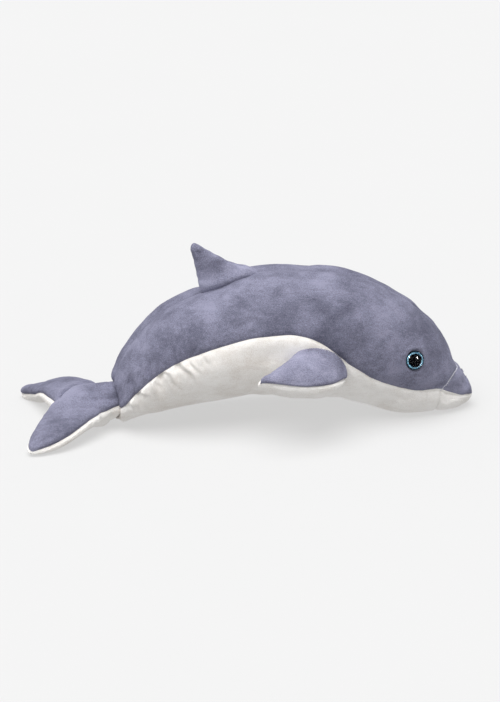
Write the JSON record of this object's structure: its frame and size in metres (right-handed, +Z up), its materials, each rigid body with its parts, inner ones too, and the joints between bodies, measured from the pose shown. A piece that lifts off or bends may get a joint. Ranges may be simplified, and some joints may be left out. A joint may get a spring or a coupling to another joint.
{
  "type": "plush dolphin",
  "caption": "Stuffed plush dolphin lying on its chin and tail, with a dorsal fin, side flippers, tail flukes and round glittery eyes.",
  "frame": {"origin": "on the surface it lies on, under the middle of its bounding box", "axes": "+X towards the beak, +Y to the animal's left, +Z up"},
  "size_m": [0.5938, 0.2832, 0.2447],
  "materials": {
    "grey_plush": "short soft pile",
    "white_plush": "short soft pile",
    "filling": "loose fibre",
    "grey_thread": "spun thread",
    "white_thread": "spun thread",
    "black_plastic": "gloss",
    "clear_plastic": "clear gloss dome",
    "glitter": "glitter under a clear coat",
    "washer_plastic": "plain moulded"
  },
  "bodies": {
    "torso": {"back_panel_right": "grey_plush", "back_panel_left": "grey_plush", "belly_panel": "white_plush", "beak_upper_panel": "grey_plush", "beak_lower_panel": "white_plush", "torso_filling": "filling", "back_seam_thread": "grey_thread", "side_seam_thread_right": "grey_thread", "side_seam_thread_left_rear": "grey_thread", "closing_stitch_thread": "grey_thread", "side_seam_thread_left_front": "grey_thread", "beak_seam_thread": "grey_thread", "eye_back_right": "black_plastic", "eye_iris_right": "glitter", "eye_lens_right": "clear_plastic", "eye_washer_right": "washer_plastic", "flipper_right_seam_thread": "white_thread", "eye_back_left": "black_plastic", "eye_iris_left": "glitter", "eye_lens_left": "clear_plastic", "eye_washer_left": "washer_plastic", "flipper_left_seam_thread": "white_thread"},
    "dorsal_fin": {"dorsal_fin_panel_right": "grey_plush", "dorsal_fin_panel_left": "grey_plush", "dorsal_fin_filling": "filling", "dorsal_fin_edge_thread": "grey_thread"},
    "flipper_right": {"flipper_right_upper_panel": "grey_plush", "flipper_right_lower_panel": "white_plush", "flipper_right_filling": "filling", "flipper_right_edge_thread": "white_thread"},
    "flipper_left": {"flipper_left_upper_panel": "grey_plush", "flipper_left_lower_panel": "white_plush", "flipper_left_filling": "filling", "flipper_left_edge_thread": "white_thread"},
    "flukes": {"fluke_upper_panel": "grey_plush", "fluke_lower_panel": "white_plush", "fluke_filling": "filling", "fluke_edge_thread": "white_thread"}
  },
  "joints": [
    {"name": "dorsal_fin_bend", "type": "hinge", "parent": "torso", "child": "dorsal_fin", "pos_m": [-0.03318, 0, 0.19841], "axis": [0.9552, 0, 0.296], "range_deg": [-35, 35], "stiffness_Nm_per_rad": 0.05},
    {"name": "flipper_right_bend", "type": "hinge", "parent": "torso", "child": "flipper_right", "pos_m": [0.08232, -0.08346, 0.09854], "axis": [0.9415, 0.0627, -0.331], "range_deg": [-40, 20], "stiffness_Nm_per_rad": 0.08},
    {"name": "flipper_left_bend", "type": "hinge", "parent": "torso", "child": "flipper_left", "pos_m": [0.08232, 0.08346, 0.09854], "axis": [0.9415, -0.0627, -0.331], "range_deg": [-20, 40], "stiffness_Nm_per_rad": 0.08},
    {"name": "fluke_bend", "type": "hinge", "parent": "torso", "child": "flukes", "pos_m": [-0.18359, 0, 0.0295], "axis": [0, 1, 0], "range_deg": [-30, 30], "stiffness_Nm_per_rad": 4, "springref_deg": -2.86}
  ]
}
